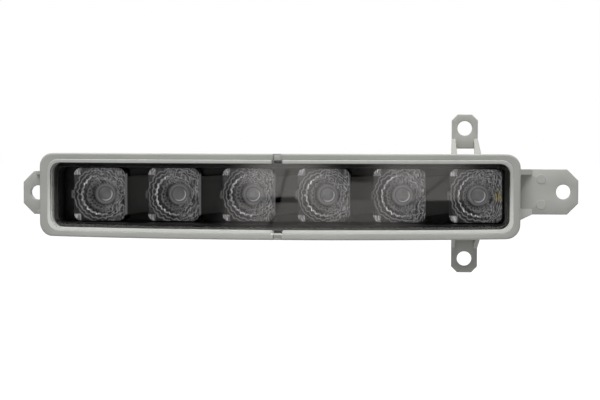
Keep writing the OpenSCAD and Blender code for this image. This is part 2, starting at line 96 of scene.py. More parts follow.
# %% Camera at the photograph's place
AZIMUTH, ELEVATION, ROLL = 4.293, 2.149, 0.137
AIM = (np.array([23.86, FACE, -1.06]) + ORIGIN) * MM
DISTANCE = 627.3 * MM
LENS_MM, SENSOR_MM = 90.0, 36.0
SHIFT = -30.0 / 600.0  # thirty pixels of a picture that is 600 wide
NEAREST, FARTHEST = 0.01, 50.0

camera = bpy.data.objects.new("photo_camera", bpy.data.cameras.new("photo_camera"))
bpy.context.scene.collection.objects.link(camera)
bpy.context.scene.camera = camera
camera.data.lens, camera.data.sensor_width = LENS_MM, SENSOR_MM
camera.data.shift_x = SHIFT
camera.data.clip_start, camera.data.clip_end = NEAREST, FARTHEST
az, el = math.radians(AZIMUTH), math.radians(ELEVATION)
back = Vector((math.sin(az) * math.cos(el), -math.cos(az) * math.cos(el), math.sin(el)))
turned = (-back).to_track_quat("-Z", "Y").to_matrix() @ Matrix.Rotation(math.radians(ROLL), 3, "Z")
camera.rotation_euler = turned.to_euler()
camera.location = Vector(AIM) + back * DISTANCE
print("camera at", [round(v, 3) for v in camera.location])

# %% [markdown]
# ## Floor and light
#
# The lamp was photographed on pure white, with one large soft light high above it. The rim stands
# far out in front of the ears, so it keeps that light off the lower ear, which is over a quarter
# darker than the upper one. A gusset's sloping edge faces up and is the brightest spot of all.
# The light's height follows from those two: it stands about 71 degrees over the horizon. A
# second, weaker light behind the lamp shows its back in other views. Light thrown back by the
# floor would fill the shade under the rim, so the floor is left out of that.

# %% Floor
FLOOR_X, FLOOR_Y, FLOOR_Z = (-6.0, 6.0), (-1.2, 12.0), -0.16


def stage_sheet(name, x, y, z):
    """A flat sheet at one height, from its spans along x and y."""
    mesh = bpy.data.meshes.new(name)
    mesh.from_pydata([(x[0], y[0], z), (x[1], y[0], z), (x[1], y[1], z), (x[0], y[1], z)], [], [(0, 1, 2, 3)])
    sheet = bpy.data.objects.new(name, mesh)
    bpy.context.scene.collection.objects.link(sheet)
    return sheet


floor = stage_sheet("studio_floor", FLOOR_X, FLOOR_Y, FLOOR_Z)
floor.visible_diffuse = False
print("floor at", FLOOR_Z, "m")

# %% Lamps of the studio
LIT_PLACE = (-0.08, -0.01, 0.0)
TOP_PLACE, TOP_SIZE, TOP_WATTS = (-0.12, -0.33, 0.95), (0.7, 0.4), 14.0
BACK_PLACE, BACK_SIZE, BACK_WATTS = (0.1, 1.1, 0.7), (1.2, 0.5), 5.0


def soft_light(name, place, size, power):
    """A rectangular light that faces the lamp's middle and that nothing mirrors."""
    light = bpy.data.lights.new(name, "AREA")
    light.shape, light.size, light.size_y = "RECTANGLE", size[0], size[1]
    light.energy = power
    holder = bpy.data.objects.new(name, light)
    holder.location = place
    way = Vector(LIT_PLACE) - Vector(place)
    holder.rotation_euler = way.to_track_quat("-Z", "Y").to_euler()
    holder.visible_glossy = False
    bpy.context.scene.collection.objects.link(holder)
    print(name, "stands", round(math.degrees(math.asin(-way.normalized().z))), "degrees up")


soft_light("top_softbox", TOP_PLACE, TOP_SIZE, TOP_WATTS)
soft_light("back_softbox", BACK_PLACE, BACK_SIZE, BACK_WATTS)

# %% [markdown]
# ## Writing shader maths as plain expressions
#
# A finish is a small graph of nodes. Wrapping each output in a class with the usual operators
# lets `1 - mask * 0.3` build its own nodes, which reads better than a page of links. Colours
# and directions go through nodes of their own kind, because a number node would turn a colour
# grey. A second class holds one material and adds any other node in a single call.

# %% A wire, on which numbers can be worked out
class Wire:
    """One output of a node. Arithmetic on it adds Math nodes to the same material."""

    def __init__(self, finish, socket):
        self.finish, self.socket = finish, socket

    def _math(self, operation, *values):
        return self.finish.add("ShaderNodeMath", {"operation": operation}, *values)

    def __add__(self, other):
        return self._math("ADD", self, other)

    __radd__ = __add__

    def __sub__(self, other):
        return self._math("SUBTRACT", self, other)

    def __rsub__(self, other):
        return self._math("SUBTRACT", other, self)

    def __mul__(self, other):
        return self._math("MULTIPLY", self, other)

    __rmul__ = __mul__

    def power(self, other):
        return self._math("POWER", self, other)

    def sine(self):
        return self._math("SINE", self)

    def size(self):
        return self._math("ABSOLUTE", self)

    def band(self, low, high):
        """0 below low, 1 above high, and a smooth climb between them."""
        settings = {"interpolation_type": "SMOOTHSTEP"}
        return self.finish.add("ShaderNodeMapRange", settings, self, low, high, 0.0, 1.0)

    def line(self, middle, half):
        """1 at the middle and 0 from half away, smooth on both sides."""
        return self.band(middle - half, middle) * (1.0 - self.band(middle, middle + half))

    def blend(self, first, second):
        """Colour that goes from first to second as this value goes from 0 to 1."""
        settings = {"data_type": "RGBA", "clamp_factor": True}
        return self.finish.add("ShaderNodeMix", settings, Factor=self, A=first, B=second, out="Result")


print("a wire can:", [name for name in vars(Wire) if not name.startswith("_")])

# %% A finish, which adds the nodes
COOL = (0.98, 0.97, 1.0)


class Finish:
    """One material, or the surroundings, with a call that adds any node."""

    def __init__(self, tree):
        tree.nodes.clear()
        self.tree = tree

    def add(self, kind, settings=None, *values, out=None, **named):
        """Adds a node: its settings first, then the values or links of its sockets."""
        node = self.tree.nodes.new(kind)
        for key, value in (settings or {}).items():
            setattr(node, key, value)
        live = [s for s in node.inputs if s.enabled]
        for socket, value in list(zip(live, values)) + [(self.named(node, k), v) for k, v in named.items()]:
            if isinstance(value, Wire):
                self.tree.links.new(value.socket, socket)
            elif value is not None:
                socket.default_value = value
        outputs = [s for s in node.outputs if s.enabled]
        return Wire(self, next((s for s in outputs if s.name == out), outputs[0] if outputs else None))

    def parts(self, vector):
        """The three numbers of a vector."""
        node = self.add("ShaderNodeSeparateXYZ", None, vector).socket.node
        return [Wire(self, out) for out in node.outputs]

    def grey(self, number, cast=COOL):
        """A number as a colour with a faint cast."""
        return self.add("ShaderNodeCombineXYZ", None, *(number * c for c in cast))

    def noise(self, place, scale, detail):
        """Soft clouds at a place."""
        return self.add("ShaderNodeTexNoise", None, place, Scale=scale, Detail=detail)

    def bumps(self, strength, distance, height):
        """The surface's direction, tilted as if the height were real."""
        tilt = {"Strength": strength, "Distance": distance, "Height": height}
        return self.add("ShaderNodeBump", None, out="Normal", **tilt)

    def surface(self, shader):
        """Ends the graph."""
        self.add("ShaderNodeOutputMaterial", None, shader)

    @staticmethod
    def named(node, key):
        """The live socket with that name; an underscore stands for a space."""
        return next(s for s in node.inputs if s.enabled and s.name == key.replace("_", " "))


def rgb(r, g, b):
    """A colour with full cover."""
    return (r, g, b, 1.0)


print("a finish can:", [name for name in vars(Finish) if not name.startswith("_")])

# %% [markdown]
# ## A room painted by direction
#
# The clear window mirrors a few percent of what stands before it. Its bow spreads a hundred
# degrees of the room over its length but under three degrees over its height, so a wall in
# front becomes a broad pale patch, and the dark on both sides makes its two ends black. The room
# is four plain forms with soft edges: a near wall, a far wall, a low table and a chest between
# the walls, with a shelf's dark line and two slanting edges. All other directions are one even
# grey that lights the lamp, and the camera itself sees white. An image of a room could be
# wrapped round the scene instead, but a few forms are easier to change and need no file.

# %% Forms of the room
# Each form: its left and right edge in radians from straight ahead, and its brightness
NEAR_WALL = (-0.2, 0.05, 1.25)
FAR_WALL = (0.25, 0.55, 0.9)
CHEST = (0.05, 0.25, 0.5)
TABLE = (-0.25, 0.35, 0.8)
EDGE_SOFT = 0.08
# Each edge below is where a soft step starts and ends, upwards or to the right
CHEST_TOP, TABLE_TOP, GROUND_TOP = (-0.027, -0.024), (-0.0385, -0.0365), (-0.0535, -0.0505)
SHELF_FOOT, SHELF_TOP = (-0.0405, -0.0385), (-0.0365, -0.0345)
SHELF_LEFT, SHELF_RIGHT = (-0.26, -0.24), (-0.04, -0.02)
CURTAIN_SLANT, CURTAIN_PLACE, CURTAIN_HALF, CURTAIN_TOP = 1.87, -0.026, 0.016, (-0.018, -0.015)
STRUT_SLANT, STRUT_PLACE, STRUT_HALF = 0.144, -0.092, 0.0026
STRUT_LEFT, STRUT_RIGHT = (0.33, 0.36), (0.47, 0.50)
GROUND_DIM, SHELF_DIM, SLANT_DIM = 0.5, 0.8, 0.5
FRONT_EDGE, STRIP_FOOT, STRIP_TOP = (0.1, 0.35), (-0.2, -0.1), (0.1, 0.2)
WARM = (1.0, 0.955, 0.90)
AMBIENT = 0.39
print("forms of the room:", len((NEAR_WALL, FAR_WALL, CHEST, TABLE)))

# %% Surroundings
def paint_surroundings():
    """An even grey, with the room's strip at eye level in front."""
    world = bpy.data.worlds.new("studio")
    bpy.context.scene.world = world
    world.use_nodes = True
    sky = Finish(world.node_tree)
    way = sky.add("ShaderNodeTexCoord", out="Generated")
    x, y, z = sky.parts(way)
    side = sky.add("ShaderNodeMath", {"operation": "ARCTAN2"}, x, y * -1.0)

    def form(left, right, bright):
        """A soft-edged upright stripe of the room."""
        rise = side.band(left - EDGE_SOFT, left + EDGE_SOFT)
        return rise * (1.0 - side.band(right - EDGE_SOFT, right + EDGE_SOFT)) * bright

    walls = form(*NEAR_WALL) + form(*FAR_WALL)
    chest = form(*CHEST) * (1.0 - z.band(*CHEST_TOP))
    above_table = z.band(*TABLE_TOP)
    wall = (walls + chest) * above_table + form(*TABLE) * (1.0 - above_table)
    shelf = z.band(*SHELF_FOOT) * (1.0 - z.band(*SHELF_TOP))
    shelf = shelf * side.band(*SHELF_LEFT) * (1.0 - side.band(*SHELF_RIGHT))
    curtain = (side - z * CURTAIN_SLANT).line(CURTAIN_PLACE, CURTAIN_HALF) * (1.0 - z.band(*CURTAIN_TOP))
    strut = (z - side * STRUT_SLANT).line(STRUT_PLACE, STRUT_HALF)
    strut = strut * side.band(*STRUT_LEFT) * (1.0 - side.band(*STRUT_RIGHT))
    dim = 1.0 - (1.0 - z.band(*GROUND_TOP)) * GROUND_DIM - shelf * SHELF_DIM - (curtain + strut) * SLANT_DIM
    wall = sky.grey(wall * dim, WARM)
    front = (y * -1.0).band(*FRONT_EDGE) * z.band(*STRIP_FOOT) * (1.0 - z.band(*STRIP_TOP))
    seen = front.blend(rgb(AMBIENT, AMBIENT, AMBIENT), wall)
    straight = sky.add("ShaderNodeLightPath", out="Is Camera Ray")
    shown = straight.blend(seen, rgb(1.0, 1.0, 1.0))
    glow = sky.add("ShaderNodeBackground", None, shown, 1.0)
    sky.add("ShaderNodeOutputWorld", None, glow)


paint_surroundings()
bpy.context.scene.view_settings.view_transform = "Standard"
print("surroundings painted")

# %% [markdown]
# ## Finishes
#
# The housing is moulded in a pale grey plastic with a very fine grain, so its finish needs a
# faint cloudiness, tiny bumps and slightly uneven gloss. The window is polished clear plastic:
# light goes through it except for the few percent that it mirrors, and more at a slant, which
# a Fresnel node gives. The black tray is satin. Each finish is a function that returns one
# material, so a value is easy to find and change.

# %% Plastics
def material(name):
    """A new material with an empty graph, and the place on the object in metres."""
    made = bpy.data.materials.new(name)
    made.use_nodes = True
    finish = Finish(made.node_tree)
    return made, finish, finish.add("ShaderNodeTexCoord", out="Object")


GRAIN, CLOUDS, CLOUD_SHARE = 2600.0, 45.0, 0.05
GRAIN_DEPTH = 0.00004


def moulded(name, colour, rough, **constants):
    """Moulded plastic: fine grain as bumps, slow cloudiness in colour and gloss."""
    made, f, place = material(name)
    fine = f.noise(place, GRAIN, 2.0)
    slow = f.noise(place, CLOUDS, 3.0)
    deep, pale = (tuple(c * k for c in colour) for k in (1.0 - CLOUD_SHARE, 1.0 + CLOUD_SHARE))
    tone = slow.band(0.3, 0.7).blend(rgb(*deep), rgb(*pale))
    bump = f.bumps(0.25, GRAIN_DEPTH, fine)
    gloss = (slow - 0.5) * 0.2 + (fine - 0.5) * 0.1 + rough
    skin = f.add("ShaderNodeBsdfPrincipled", None, Base_Color=tone, Roughness=gloss, Normal=bump, **constants)
    f.surface(skin)
    return made


HOUSING_GREY = moulded("housing_grey", (0.405, 0.412, 0.385), rough=0.5)
print("moulded:", HOUSING_GREY.name)

# %% Clear plastic of the window
PLASTIC_IOR, POLISH = 1.5, 0.006


def clear_plastic():
    """Polished clear plastic: see-through but for what it mirrors, with more at a slant."""
    made, f, place = material("lens_clear")
    slow = f.noise(place, 30.0, 1.0)
    wave = f.bumps(0.02, 0.0003, slow)
    mirror = f.add("ShaderNodeFresnel", None, PLASTIC_IOR)
    body = f.add("ShaderNodeBsdfPrincipled", None, Base_Color=rgb(1.0, 1.0, 1.0), Roughness=POLISH,
                 Metallic=1.0, Normal=wave)
    through = f.add("ShaderNodeBsdfTransparent")
    both = f.add("ShaderNodeMixShader", None, mirror, through, body)
    f.surface(both)
    return made


LENS_CLEAR = clear_plastic()
print("clear:", LENS_CLEAR.name)

# %% Black plastic of the tray
# The webs' front edge and their half height, each as a soft step, in metres
WEB_FRONT, WEB_SIDE = (-0.0079, -0.0070), (0.0116, 0.0119)
TRAY_TONE, TRAY_CLOUD, WEB_PAINTED_LIGHT = 0.011, 0.008, 0.045
TRAY_CAST = (1.0, 0.97, 0.94)


def bezel_plastic():
    """Black tray plastic, with the raised webs between the cells painted a little paler: painted light on
    their front faces.
    """
    made, f, place = material("bezel_black")
    _, depth, across = f.parts(place)
    # Painted light: the webs' front faces get a paler colour, standing in for the light that they catch
    web_painted_light_mask = (1.0 - depth.band(*WEB_FRONT)) * (1.0 - across.size().band(*WEB_SIDE))
    fine = f.noise(place, 1800.0, 2.0)
    slow = f.noise(place, 60.0, 2.0)
    tone = (slow - 0.5) * TRAY_CLOUD + TRAY_TONE + web_painted_light_mask * WEB_PAINTED_LIGHT
    bump = f.bumps(0.2, GRAIN_DEPTH, fine)
    skin = f.add("ShaderNodeBsdfPrincipled", None, Base_Color=f.grey(tone, TRAY_CAST),
                 Roughness=fine * 0.1 + 0.33, Normal=bump, Specular_IOR_Level=0.22)
    f.surface(skin)
    return made


BEZEL_BLACK = bezel_plastic()
print("black:", BEZEL_BLACK.name)

# %% [markdown]
# ## A profile carried round the lamp
#
# Rim, groove, walls and window all follow one rounded rectangle at different distances from
# its middle line. So a whole moulding is a single profile, drawn as a few corners in a section
# across the lamp, and carried round that outline. Corners get their small radius from a curve
# of second degree, and a flag on each point says whether it follows the bow of the face or a
# flat plane. This gives long clean faces with real round edges, which modelling by hand or
# cutting solids from each other would not.

# %% Outline columns
CORNER = 9  # columns on a corner's quarter turn
ARC = np.linspace(0.0, math.pi / 2, CORNER)
NOTCH_X, NOTCH_W = 1.5, 3.6
FOOT_GAP = 2.3
STRAIGHT_END = 95.0
STEEP = 0.01
NEAR_NOTCH = (NOTCH_W / 2 - STEEP, NOTCH_W / 2 + STEEP, FOOT_GAP)
EDGES = [NOTCH_X + s * d for s in (-1, 1) for d in NEAR_NOTCH]
STATIONS = np.sort(np.concatenate([np.linspace(-STRAIGHT_END, STRAIGHT_END, 39), EDGES]))
SIDE = len(STATIONS)
ANGLES = np.concatenate([ARC - math.pi / 2, ARC, np.full(SIDE, math.pi / 2),
                         ARC + math.pi / 2, ARC + math.pi, np.full(SIDE, -math.pi / 2)])
NO_X = np.full(2 * CORNER, np.nan)
SIDE_X = np.concatenate([NO_X, STATIONS[::-1], NO_X, STATIONS])
SIGN_X = np.concatenate([np.ones(2 * CORNER), np.zeros(SIDE), -np.ones(2 * CORNER), np.zeros(SIDE)])
SIGN_Z = np.concatenate([-np.ones(CORNER), np.ones(2 * CORNER + SIDE), -np.ones(CORNER + SIDE)])
COLUMNS = len(ANGLES)
# The corners' radius at each distance from the middle line
RADII = ([8.0, 9.6, 12.1, 13.3, 14.1, 14.35, 15.45, 15.65, 18.15],
         [0.2, 0.4, 2.6, 3.6, 4.4, 4.65, 4.95, 5.15, 6.0])
RIM_IN, RIM_OUT = 15.65, 18.15
LEFT_EXTRA, RIGHT_EXTRA = RIM_LEFT - END_ROOM - RIM_OUT, RIM_RIGHT - END_ROOM - RIM_OUT


def carried(profile):
    """Profile rows of (half height, depth, bow) carried round the outline, as an array of points.

    A column lies on a side or on a corner's arc: corner centre plus radius times (cosine, sine).
    The rim's ends are thicker than its sides, so a row outside the groove is also pushed out
    there. Its depth is the row's depth plus the bow flag times the setback at its x."""
    q, y, bow = (np.asarray(profile, float)[:, k, None] for k in range(3))
    r = np.interp(q, *RADII)
    push = np.interp(q, [RIM_IN, RIM_OUT], [0.0, 1.0]) * np.where(SIGN_X > 0, RIGHT_EXTRA, LEFT_EXTRA)
    on_arc = SIGN_X * (q + END_ROOM - r + push) + r * np.cos(ANGLES)
    x = np.where(np.isnan(SIDE_X), on_arc, SIDE_X)
    z = SIGN_Z * (q - r) + r * np.sin(ANGLES)
    return np.stack([x, y + bow * sag(x), z], -1)


print("columns round the lamp:", COLUMNS)

# %% Rounded profiles and grids
def rounded(corners, steps=5):
    """Corners of (half height, depth, bow, radius) as rows, each corner cut to a smooth curve.

    The curve goes from a, radius before the corner, to b, radius after it:
    (1-t)^2 a + 2t(1-t) corner + t^2 b."""
    corners = np.asarray(corners, float)
    rows = []
    for i, (q, y, bow, radius) in enumerate(corners):
        if radius == 0.0:
            rows.append([[q, y, bow]])
            continue
        here = corners[i, :2]
        ways = [corners[k, :2] - here for k in (i - 1, i + 1)]
        a, b = (here + way / np.linalg.norm(way) * radius for way in ways)
        t = np.linspace(0.0, 1.0, steps)[:, None]
        curve = (1 - t) ** 2 * a + 2 * t * (1 - t) * here + t**2 * b
        rows.append(np.column_stack([curve, np.full(steps, bow)]))
    return np.concatenate(rows)


def grid_faces(rows, columns, closed_rows=False):
    """Quads between neighbouring rows, closed round the columns."""
    r = np.arange(rows if closed_rows else rows - 1)[:, None]
    c = np.arange(columns)[None, :]
    after, right = (r + 1) % rows, (c + 1) % columns
    quads = [r * columns + c, r * columns + right, after * columns + right, after * columns + c]
    return np.stack(quads, -1).reshape(-1, 4)


def strip_cap(row):
    """Quads that close a row of the outline: each point of its upper half joins its mirror below."""
    upper = np.arange(CORNER, 3 * CORNER + SIDE)
    lower = np.arange(COLUMNS - 1, CORNER + len(upper) - 1, -1)
    lower = np.concatenate([np.arange(CORNER - 1, -1, -1), lower])
    a, b = upper + row * COLUMNS, lower + row * COLUMNS
    return np.stack([a[:-1], a[1:], b[1:], b[:-1]], -1)


print("one row has", len(grid_faces(2, COLUMNS)), "quads")

# %% Making a piece
def make(name, points, faces, slot, materials, sharp=40.0, replaced=()):
    """A finished piece: millimetres of the drawing become metres in the lamp's frame.

    The volume under all faces decides whether they are turned: a closed skin must face outwards."""
    points = np.asarray(points, float).reshape(-1, 3)
    faces = [tuple(f) for f in faces]
    fan = np.array([(f[0], f[k], f[k + 1]) for f in faces for k in range(1, len(f) - 1)])
    a, b, c = (points[fan[:, k]] for k in range(3))
    if np.einsum("ij,ij->i", a, np.cross(b, c)).sum() < 0:
        faces = [f[::-1] for f in faces]
    mesh = bpy.data.meshes.new(name)
    mesh.from_pydata(((points + ORIGIN) * MM).tolist(), [], faces)
    mesh.polygons.foreach_set("use_smooth", [True] * len(mesh.polygons))
    mesh.set_sharp_from_angle(angle=math.radians(sharp))
    for m in materials:
        mesh.materials.append(m)
    piece = bpy.data.objects.new(name, mesh)
    bpy.context.scene.collection.objects.link(piece)
    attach(piece, "root")
    if replaced:
        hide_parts(*replaced)
    print(name, "faces:", len(faces))
    return piece


def moulding(name, points, faces, sharp=40.0):
    """A piece of the grey housing."""
    return make(name, points, faces, "housing_grey", [HOUSING_GREY], sharp, ["housing"])


SHARP_FROM = 35.0


def bevelled(piece, width):
    """Rounds the piece's own sharp edges by a width in millimetres."""
    edge = piece.modifiers.new("edges", "BEVEL")
    edge.width, edge.segments, edge.limit_method = width * MM, 2, "ANGLE"
    edge.angle_limit = math.radians(SHARP_FROM)
    edge.harden_normals = True
    return piece


print("edges sharper than", SHARP_FROM, "degrees are rounded")

# %% [markdown]
# ## Housing shell
#
# The grey housing is one moulding: a flat back, side walls, a rim that stands out round the
# face, and a deep groove in which the window's foot is glued. Its section is a dozen corners,
# walked from the inside floor over the sill, down and up the groove, round the rim and back
# down to the rear. Two notches at the middle of the long sides hold the window's lugs, and
# they are made by lowering the rim's front only in the columns that lie there.

# %% Shell section, from the inside floor to the back
BODY, BODY_IN, SILL = 15.3, 13.3, 14.1
SILL_FRONT, GROOVE_FLOOR, GROOVE_LIP = FACE + 7.55, FACE + 10.8, FACE + 1.05
RIM_FRONT, RIM_BACK = FACE + 0.8, FACE + 12.8
SHELL = [
    (11.0, FLOOR_IN, 0, 0), (BODY_IN, FLOOR_IN, 0, 0.8),
    (BODY_IN, SILL_FRONT, 1, 0.15), (SILL, SILL_FRONT, 1, 0.15),
    (SILL, GROOVE_FLOOR, 1, 0), (RIM_IN, GROOVE_FLOOR, 1, 0),
    (RIM_IN, GROOVE_LIP, 1, 0.1), (RIM_OUT, RIM_FRONT, 1, 0.8),
    (RIM_OUT, RIM_BACK, 1, 0.5), (BODY, RIM_BACK, 1, 0.3),
    (BODY, BACK, 0, 1.0), (12.5, BACK, 0, 0),
]
NOTCH_FLOOR, NOTCH_FROM = RIM_FRONT + 1.4, RIM_IN - 0.05


def notched(points, profile):
    """Lowers the rim's front to the notch floor in the columns of the notches."""
    in_notch = np.abs(points[..., 0] - NOTCH_X) < NOTCH_W / 2
    in_notch &= ~np.isnan(SIDE_X)[None, :] & (profile[:, 0] > NOTCH_FROM)[:, None]
    floor_y = NOTCH_FLOOR + sag(points[..., 0])
    points[..., 1] = np.where(in_notch, np.maximum(points[..., 1], floor_y), points[..., 1])
    return points


profile = rounded(SHELL)
shell_points = notched(carried(profile), profile)
shell_faces = np.concatenate([grid_faces(len(profile), COLUMNS), strip_cap(0), strip_cap(len(profile) - 1)])
moulding("housing_shell", shell_points, shell_faces)

# %% [markdown]
# ## Ears
#
# Four flat ears carry the lamp, each with a round hole and two gussets that run down to the
# wall. An ear's plate is a flat ring: for each direction from the hole's middle there is one
# point on the hole and one on the plate's outline, and a small rounded section joins them
# round both edges. The same function makes all four, because an ear is drawn outwards along
# its own axis and only then turned into place.

# %% Ear plates and gussets
HOLE_R = 3.2
PLATE_ROUND, HOLE_ROUND = 0.45, 0.25
TINY, EDGE_SLACK = 1e-9, 1e-6
TURNS = np.linspace(0.0, 2 * math.pi, 144, endpoint=False)


def outline_reach(corners, centre, angles):
    """Distance from the centre to a convex outline along each angle: the nearest hit of all its edges."""
    a = np.asarray(corners, float) - centre
    b = np.roll(a, -1, 0)
    way = np.stack([np.cos(angles), np.sin(angles)], -1)[:, None, :]
    edge = (b - a)[None]
    cross = way[..., 0] * edge[..., 1] - way[..., 1] * edge[..., 0]
    cross = np.where(np.abs(cross) < TINY, TINY, cross)
    t = (a[None, :, 0] * edge[..., 1] - a[None, :, 1] * edge[..., 0]) / cross
    s = (a[None, :, 0] * way[..., 1] - a[None, :, 1] * way[..., 0]) / cross
    hit = (t > 0) & (s > -EDGE_SLACK) & (s < 1 + EDGE_SLACK)
    return np.where(hit, t, np.inf).min(1)


def ear_plate(near, hole, tip, width, chamfer):
    """Plate of an ear as (along, depth, across) points: a rounded section between hole and outline."""
    w = width / 2
    flank = w - chamfer
    corners = [(near, -w), (tip - chamfer, -w), (tip, -flank), (tip, flank), (tip - chamfer, w), (near, w)]
    at = np.array([hole, 0.0])
    turns = np.sort(np.concatenate([TURNS, [math.atan2(v, u - hole) % (2 * math.pi) for u, v in corners]]))
    reach = outline_reach(corners, at, turns)
    t = np.linspace(0, math.pi / 2, 4)
    e, g = PLATE_ROUND, HOLE_ROUND
    inner = [(0, HOLE_R + g - g * math.sin(a), -SEAT_T + g - g * math.cos(a)) for a in t]
    outer = [(1, -e + e * math.sin(a), -SEAT_T + e - e * math.cos(a)) for a in t]
    front = inner[::-1] + outer
    rear = [(k, d, -SEAT_T - y) for k, d, y in front[::-1]]
    rows = []
    for k, d, y in front + rear:
        radius = reach + d if k else np.full(len(turns), d)
        along, across = hole + radius * np.cos(turns), radius * np.sin(turns)
        rows.append(np.stack([along, np.full(len(turns), y), across], -1))
    rows = np.stack(rows[::-1])
    return rows, grid_faces(len(rows), len(turns), closed_rows=True)


print("a plate has", len(TURNS), "turns and its corners")

# %% Gussets
GUSSET_DEEP, GUSSET_OUT, ROOT_IN, SUNK = 10.0, 6.0, 1.0, 0.02
SIDES = np.array([(0, 1, 3, 2), (4, 6, 7, 5), (0, 4, 5, 1), (2, 3, 7, 6), (1, 5, 7, 3), (0, 2, 6, 4)])


def gusset(root, end, width, side, thick, leans):
    """Wedge from the wall out to the plate, as points (along, depth, across).

    At the wall the outer and the inner face lean away from the ear's middle by the first two
    leans, and the sloping front drops towards the inner face by the third."""
    edge = width / 2
    root_v = [side * (edge + leans[0]), side * (edge - thick + leans[1])]
    end_v = [side * edge, side * (edge - thick)]
    fronts = (GUSSET_DEEP, GUSSET_DEEP - leans[2])
    points = [(root, y, v) for v, front in zip(root_v, fronts) for y in (-SUNK, -front)]
    points += [(end, y, v) for v in end_v for y in (-SUNK, -SEAT_T)]
    return np.array(points), SIDES


print("gussets reach", GUSSET_DEEP, "mm forward of the seat")

# %% Each ear turned into place
UPRIGHT = (0.0, 0.0, 0.0)
PAIR_AT, RIGHT_Z, LEFT_Z, BODY_END = (-ORIGIN[0], -ORIGIN[2]), 1.6, 0.3, 100.8
PAIR = dict(at=PAIR_AT, wall=BODY, hole=28.65, tip=34.75, width=11.4, chamfer=2.6, rim=RIM_OUT, thick=1.8)
EAR_SHAPES = {
    "upper": dict(PAIR, out=(0, 1), near=19.75, leans=((2.1, 0.6, 0.0), (0.2, -0.9, 0.0))),
    "lower": dict(PAIR, out=(0, -1), near=17.55, leans=(UPRIGHT, (2.7, 1.9, 0.0))),
    "right": dict(at=(0.0, RIGHT_Z), out=(1, 0), wall=BODY_END, near=104.85, hole=123.45,
                  tip=129.95, width=19.9, chamfer=4.9, rim=RIM_RIGHT, thick=2.5,
                  leans=((4.4, 0.0, 4.5), UPRIGHT)),
    "left": dict(at=(0.0, LEFT_Z), out=(-1, 0), wall=BODY_END, near=99.8, hole=110.45,
                 tip=116.95, width=19.4, chamfer=4.9, rim=RIM_LEFT, thick=1.8, leans=(UPRIGHT, UPRIGHT)),
}


def turned_out(points, at, out):
    """Ear points (along, depth, across) into the lamp's frame; across is a quarter turn from out."""
    points = np.asarray(points, float)
    x = at[0] + points[..., 0] * out[0] - points[..., 2] * out[1]
    z = at[1] + points[..., 0] * out[1] + points[..., 2] * out[0]
    return np.stack([x, points[..., 1], z], -1)


for ear, e in EAR_SHAPES.items():
    turn = e["at"], e["out"]
    points, faces = ear_plate(e["near"], e["hole"], e["tip"], e["width"], e["chamfer"])
    moulding(f"ear_{ear}_plate", turned_out(points, *turn), faces)
    for side, letter, lean in zip((-1, 1), "ab", e["leans"]):
        points, faces = gusset(e["wall"] - ROOT_IN, e["rim"] + GUSSET_OUT, e["width"], side, e["thick"], lean)
        bevelled(moulding(f"ear_{ear}_gusset_{letter}", turned_out(points, *turn), faces), 0.3)

# %% [markdown]
# ## Back and inside of the housing
#
# The back carries a ladder of low ribs, a socket for the plug and a spigot for the vent. Small
# props hold the rim on both long sides, and six bosses inside take the board's screws. Ribs and
# props are blocks given by eight corners, round things are a profile turned about an axis, and
# the socket's shroud is a profile carried round a small rounded rectangle.

# %% Blocks, turned profiles and small frames
BLOCK = np.array([(0, 1, 3, 2), (4, 6, 7, 5), (0, 4, 5, 1), (2, 3, 7, 6), (0, 2, 6, 4), (1, 5, 7, 3)])


def block(x, y, z, taper=0.0):
    """Eight corners from three spans; the sides draw in by the taper towards the second y."""
    corners = [(x[i], y[j], z[k]) for i in (0, 1) for j in (0, 1) for k in (0, 1)]
    points = np.array(corners, float)
    middle = np.array([sum(x) / 2, 0.0, sum(z) / 2])
    drawn = points[:, 1] == y[1]
    points[drawn] += np.sign(middle - points[drawn]) * taper * np.array([1, 0, 1])
    return points, BLOCK


def joined(shapes):
    """Several (points, faces) as one."""
    starts = np.cumsum([0] + [len(p) for p, _ in shapes[:-1]])
    faces = [f + start for (_, f), start in zip(shapes, starts)]
    return np.concatenate([p for p, _ in shapes]), np.concatenate(faces)


def turned(x, z, rows, columns=48):
    """A closed profile of (radius, depth) turned about an axis along Y."""
    a = np.linspace(0, 2 * math.pi, columns, endpoint=False)
    rows = np.asarray(rows, float)
    r, y = rows[:, 0, None], rows[:, 1, None]
    points = np.stack([x + r * np.cos(a), y + 0 * a, z + r * np.sin(a)], -1)
    return points.reshape(-1, 3), grid_faces(len(rows), columns, closed_rows=True)


def framed(x, half_w, half_h, radius, rows, steps=8):
    """A closed profile of (growth, depth) carried round a small rounded rectangle."""
    quarter = np.linspace(0, math.pi / 2, steps)
    a = np.concatenate([quarter + k * math.pi / 2 for k in range(4)])
    sx, sz = np.repeat([1, -1, -1, 1], steps), np.repeat([1, 1, -1, -1], steps)
    rows = np.asarray(rows, float)
    grow, y = rows[:, 0, None], rows[:, 1, None]
    px = x + sx * (half_w - radius) + (radius + grow) * np.cos(a)
    pz = sz * (half_h - radius) + (radius + grow) * np.sin(a)
    points = np.stack([px, y + 0 * px, pz], -1)
    return points.reshape(-1, 3), grid_faces(len(rows), len(a), closed_rows=True)


print("a block has", len(BLOCK), "faces")

# %% Ribs and props
RAIL_Z, RAIL_X, RIB_T, RIB_H = 12.3, 96.2, 1.5, 1.8
DRAFT, ROOTED = 0.12, 0.05


def rib(x, z, height):
    """A low rib on the back wall, rooted a little in it."""
    return block(x, (BACK - ROOTED, BACK + height), z, DRAFT)


ribs = [rib((-RAIL_X, RAIL_X), (s * RAIL_Z - RIB_T / 2, s * RAIL_Z + RIB_T / 2), RIB_H) for s in (-1, 1)]
ribs += [rib((x - RIB_T / 2, x + RIB_T / 2), (-RAIL_Z, RAIL_Z), RIB_H - 0.02) for x in CELL_X]
bevelled(moulding("back_rib_ladder", *joined(ribs)), 0.25)

